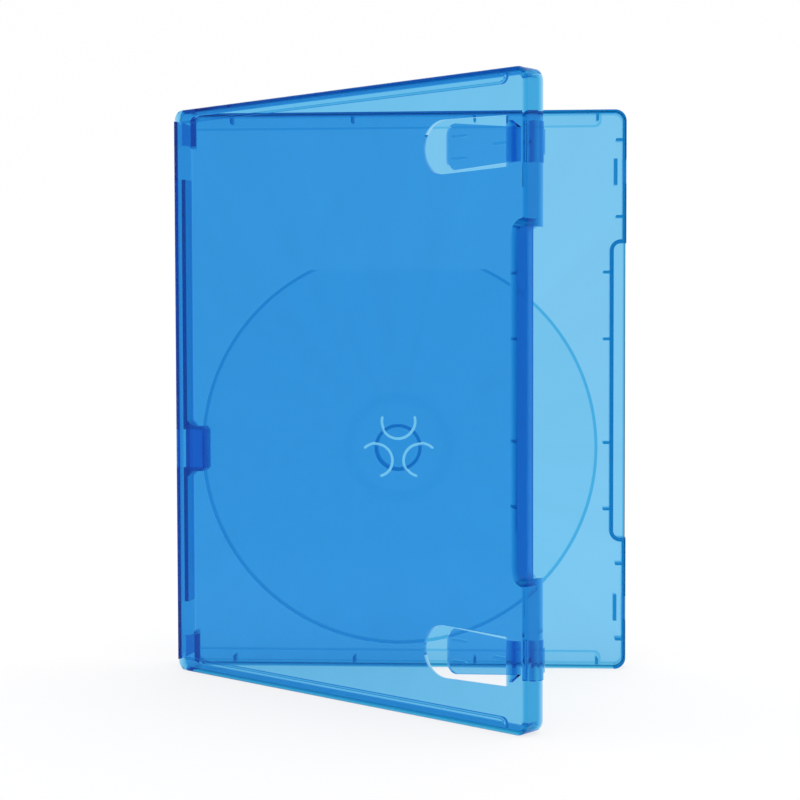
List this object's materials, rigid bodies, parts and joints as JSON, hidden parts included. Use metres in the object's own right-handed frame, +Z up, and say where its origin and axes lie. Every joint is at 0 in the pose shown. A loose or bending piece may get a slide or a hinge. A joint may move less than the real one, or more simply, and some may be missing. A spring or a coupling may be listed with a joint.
{
  "type": "game disc case",
  "caption": "Translucent blue moulded disc case standing half open, with a hinged cover, spine and disc tray with hub.",
  "frame": {"origin": "centre of the tray's bottom edge, on the surface the case stands on", "axes": "+Z up the tray, +X from the hinge to the tray's free edge, +Y out of the tray's back"},
  "size_m": [0.1374, 0.097, 0.171],
  "materials": {
    "case_plastic": "clear gloss"
  },
  "bodies": {
    "back_tray": {"back_tray": "case_plastic"},
    "spine": {"spine": "case_plastic"},
    "front_cover": {"front_cover": "case_plastic"}
  },
  "joints": [
    {"name": "rear_hinge", "type": "hinge", "parent": "back_tray", "child": "spine", "pos_m": [-0.0673, 0.00325, 0.0855], "axis": [0, 0, -1], "range_deg": [-10.1, 79.9]},
    {"name": "front_hinge", "type": "hinge", "parent": "spine", "child": "front_cover", "pos_m": [-0.06968, -0.01014, 0.0855], "axis": [0, 0, -1], "range_deg": [-28.2, 61.8]}
  ]
}
